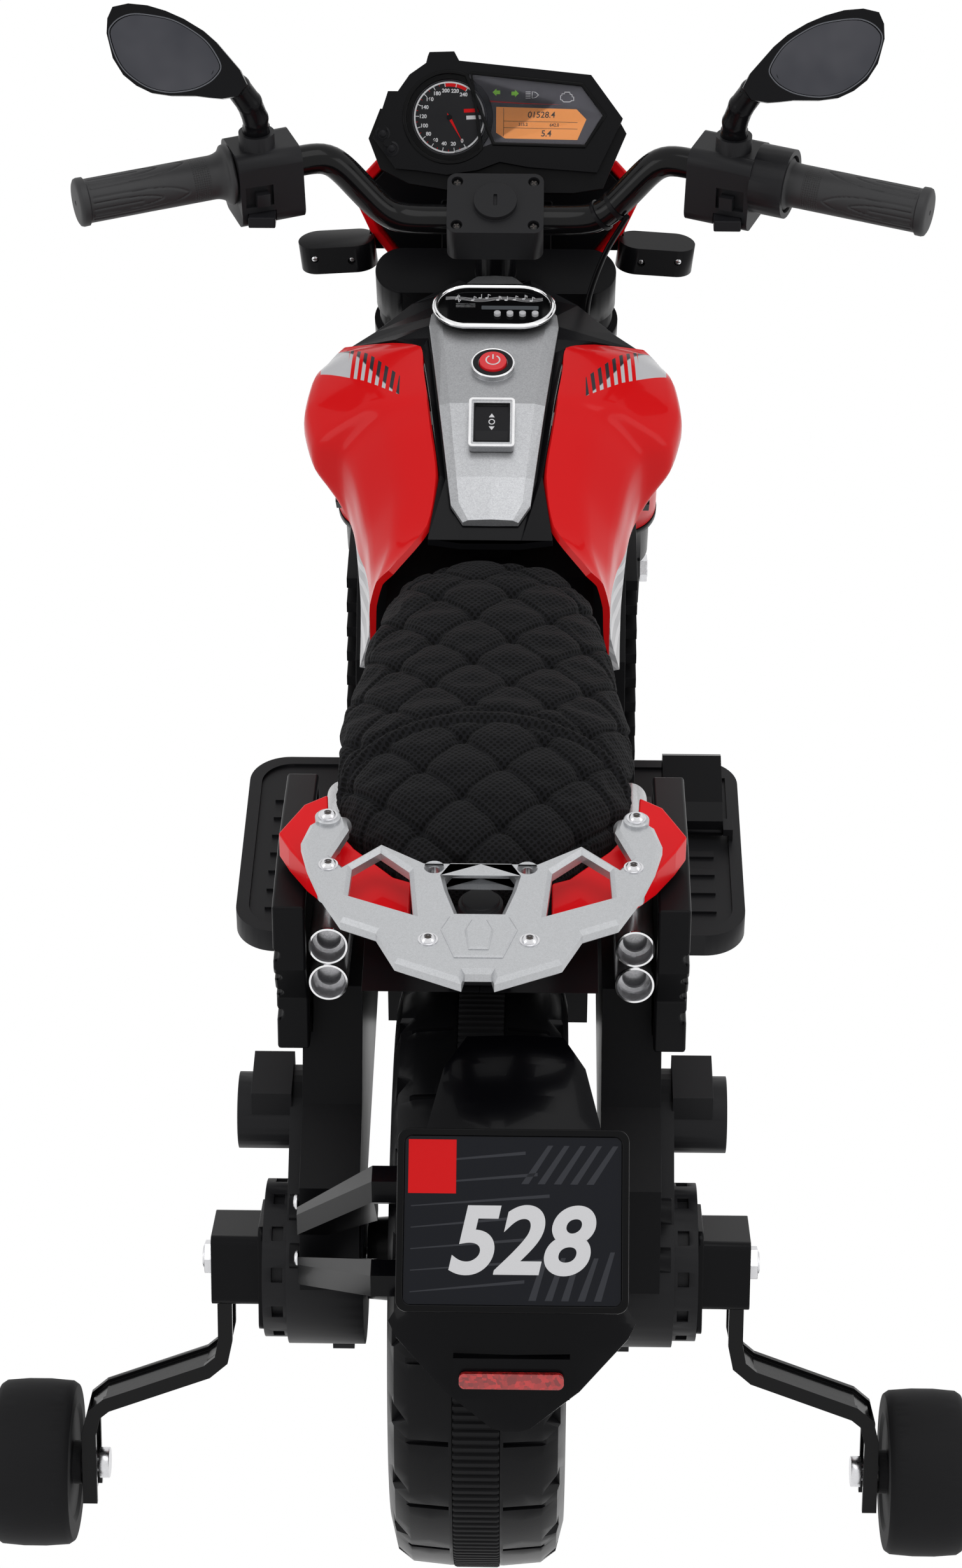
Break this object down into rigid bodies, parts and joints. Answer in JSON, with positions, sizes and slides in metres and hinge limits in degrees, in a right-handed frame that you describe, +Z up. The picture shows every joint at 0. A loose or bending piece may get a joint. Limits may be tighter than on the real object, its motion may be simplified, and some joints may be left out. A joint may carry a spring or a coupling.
{
  "type": "kids electric motorbike",
  "caption": "Battery ride-on motorbike for a child, with stabiliser wheels, quilted seat, grab rail, turning front fork, dashboard and mirrors.",
  "frame": {"origin": "on the ground, in the middle of the bounding box seen from above", "axes": "+X to the rider's right, +Y forward, +Z up"},
  "size_m": [0.534, 1.0505, 0.6792],
  "materials": {
    "black_plastic": "fine grain",
    "gloss_black": "gloss",
    "red_panel": "gloss",
    "silver_panel": "metallic satin",
    "seat_fabric": "perforated spacer fabric, quilted",
    "wheel_plastic": "satin",
    "band_rubber": "ribbed",
    "grip_rubber": "ribbed",
    "steel": "zinc plated",
    "black_steel": "gloss black",
    "motor_steel": "satin",
    "battery_case": "plain",
    "control_case": "plain",
    "display": "printed, behind a clear window",
    "reflector": "prismatic",
    "red_button": "gloss",
    "pale_button": "gloss"
  },
  "bodies": {
    "chassis": {"body_left": "black_plastic", "body_right": "black_plastic", "head_tube": "black_plastic", "tank_left": "red_panel", "tank_right": "red_panel", "tank_spine": "black_plastic", "console_panel": "silver_panel", "audio_unit": "gloss_black", "seat_base": "black_plastic", "seat_cushion": "seat_fabric", "tail_cover": "red_panel", "grab_rail": "silver_panel", "exhaust_pipes": "silver_panel", "side_panels": "black_plastic", "foot_board": "black_plastic", "battery": "battery_case", "control_box": "control_case", "rear_frames": "black_plastic", "gearboxes": "black_plastic", "motors": "motor_steel", "rear_axle": "steel", "stabiliser_boxes": "black_plastic", "stabiliser_arms": "black_steel", "stabiliser_axles": "steel", "rear_mudguard": "gloss_black", "number_plate": "gloss_black", "rear_reflector": "reflector"},
    "steering": {"fork_crown": "black_plastic", "fork_legs": "black_plastic", "fork_guards": "red_panel", "front_axle": "steel", "front_mudguard": "red_panel", "handlebar": "black_steel", "clamp_box": "black_plastic", "dash_housing": "black_plastic", "dash_face": "display", "cowl": "red_panel", "headlight": "black_plastic", "turn_signals": "black_plastic", "switch_left": "black_plastic", "switch_right": "black_plastic", "grip_left": "grip_rubber", "throttle_cable": "grip_rubber"},
    "rear_wheel": {"rear_wheel": "wheel_plastic", "rear_band": "band_rubber"},
    "front_wheel": {"front_wheel": "wheel_plastic"},
    "stabiliser_wheel_left": {"stabiliser_wheel_left": "wheel_plastic"},
    "stabiliser_wheel_right": {"stabiliser_wheel_right": "wheel_plastic"},
    "accelerator_pedal": {"accelerator_pedal": "black_plastic"},
    "throttle_grip": {"throttle_grip": "grip_rubber"},
    "mirror_left": {"mirror_left": "gloss_black"},
    "mirror_right": {"mirror_right": "gloss_black"},
    "power_button": {"power_button": "red_button"},
    "direction_switch": {"direction_switch": "black_plastic"},
    "music_button_1": {"music_button_1": "pale_button"},
    "music_button_2": {"music_button_2": "pale_button"},
    "music_button_3": {"music_button_3": "pale_button"},
    "music_button_4": {"music_button_4": "pale_button"},
    "horn_button": {"horn_button": "black_plastic"},
    "start_button": {"start_button": "black_plastic"}
  },
  "joints": [
    {"name": "steering_turn", "type": "hinge", "parent": "chassis", "child": "steering", "pos_m": [0, 0.3615, 0.165], "axis": [0, -0.4384, 0.8988], "range_deg": [-25, 25]},
    {"name": "front_wheel_spin", "type": "hinge", "parent": "steering", "child": "front_wheel", "pos_m": [0, 0.3615, 0.165], "axis": [1, 0, 0], "continuous": true},
    {"name": "rear_wheel_spin", "type": "hinge", "parent": "chassis", "child": "rear_wheel", "pos_m": [0, -0.3385, 0.165], "axis": [1, 0, 0], "continuous": true},
    {"name": "stabiliser_left_spin", "type": "hinge", "parent": "chassis", "child": "stabiliser_wheel_left", "pos_m": [-0.2457, -0.37939, 0.04624], "axis": [1, 0, 0], "continuous": true},
    {"name": "stabiliser_right_spin", "type": "hinge", "parent": "chassis", "child": "stabiliser_wheel_right", "pos_m": [0.2457, -0.37939, 0.04624], "axis": [1, 0, 0], "continuous": true},
    {"name": "pedal_press", "type": "hinge", "parent": "chassis", "child": "accelerator_pedal", "pos_m": [0.129, 0.0985, 0.134], "axis": [-1, 0, 0], "range_deg": [0, 7], "stiffness_Nm_per_rad": 2, "springref_deg": -11.46},
    {"name": "throttle_twist", "type": "hinge", "parent": "steering", "child": "throttle_grip", "pos_m": [0.119, 0.1695, 0.572], "axis": [0.9362, -0.3501, -0.0304], "range_deg": [0, 35], "stiffness_Nm_per_rad": 0.1, "springref_deg": -17.19},
    {"name": "mirror_left_turn", "type": "hinge", "parent": "steering", "child": "mirror_left", "pos_m": [-0.14, 0.1585, 0.591], "axis": [0, 0, 1], "range_deg": [-20, 20]},
    {"name": "mirror_right_turn", "type": "hinge", "parent": "steering", "child": "mirror_right", "pos_m": [0.14, 0.1585, 0.591], "axis": [0, 0, 1], "range_deg": [-20, 20]},
    {"name": "power_press", "type": "slide", "parent": "chassis", "child": "power_button", "axis": [0, 0.1989, -0.98], "range_m": [0, 0.0015], "stiffness_N_per_m": 300, "springref_m": -0.002},
    {"name": "direction_rock", "type": "hinge", "parent": "chassis", "child": "direction_switch", "pos_m": [0, 0.03954, 0.4657], "axis": [1, 0, 0], "range_deg": [-8, 8]},
    {"name": "music_1_press", "type": "slide", "parent": "chassis", "child": "music_button_1", "axis": [0, 0.112, -0.9937], "range_m": [0, 0.001], "stiffness_N_per_m": 300, "springref_m": -0.002},
    {"name": "music_2_press", "type": "slide", "parent": "chassis", "child": "music_button_2", "axis": [0, 0.112, -0.9937], "range_m": [0, 0.001], "stiffness_N_per_m": 300, "springref_m": -0.002},
    {"name": "music_3_press", "type": "slide", "parent": "chassis", "child": "music_button_3", "axis": [0, 0.112, -0.9937], "range_m": [0, 0.001], "stiffness_N_per_m": 300, "springref_m": -0.002},
    {"name": "music_4_press", "type": "slide", "parent": "chassis", "child": "music_button_4", "axis": [0, 0.112, -0.9937], "range_m": [0, 0.001], "stiffness_N_per_m": 300, "springref_m": -0.002},
    {"name": "horn_press", "type": "slide", "parent": "steering", "child": "horn_button", "axis": [0, 1, 0], "range_m": [0, 0.0015], "stiffness_N_per_m": 300, "springref_m": -0.002},
    {"name": "start_press", "type": "slide", "parent": "steering", "child": "start_button", "axis": [0, 1, 0], "range_m": [0, 0.0015], "stiffness_N_per_m": 300, "springref_m": -0.002}
  ]
}
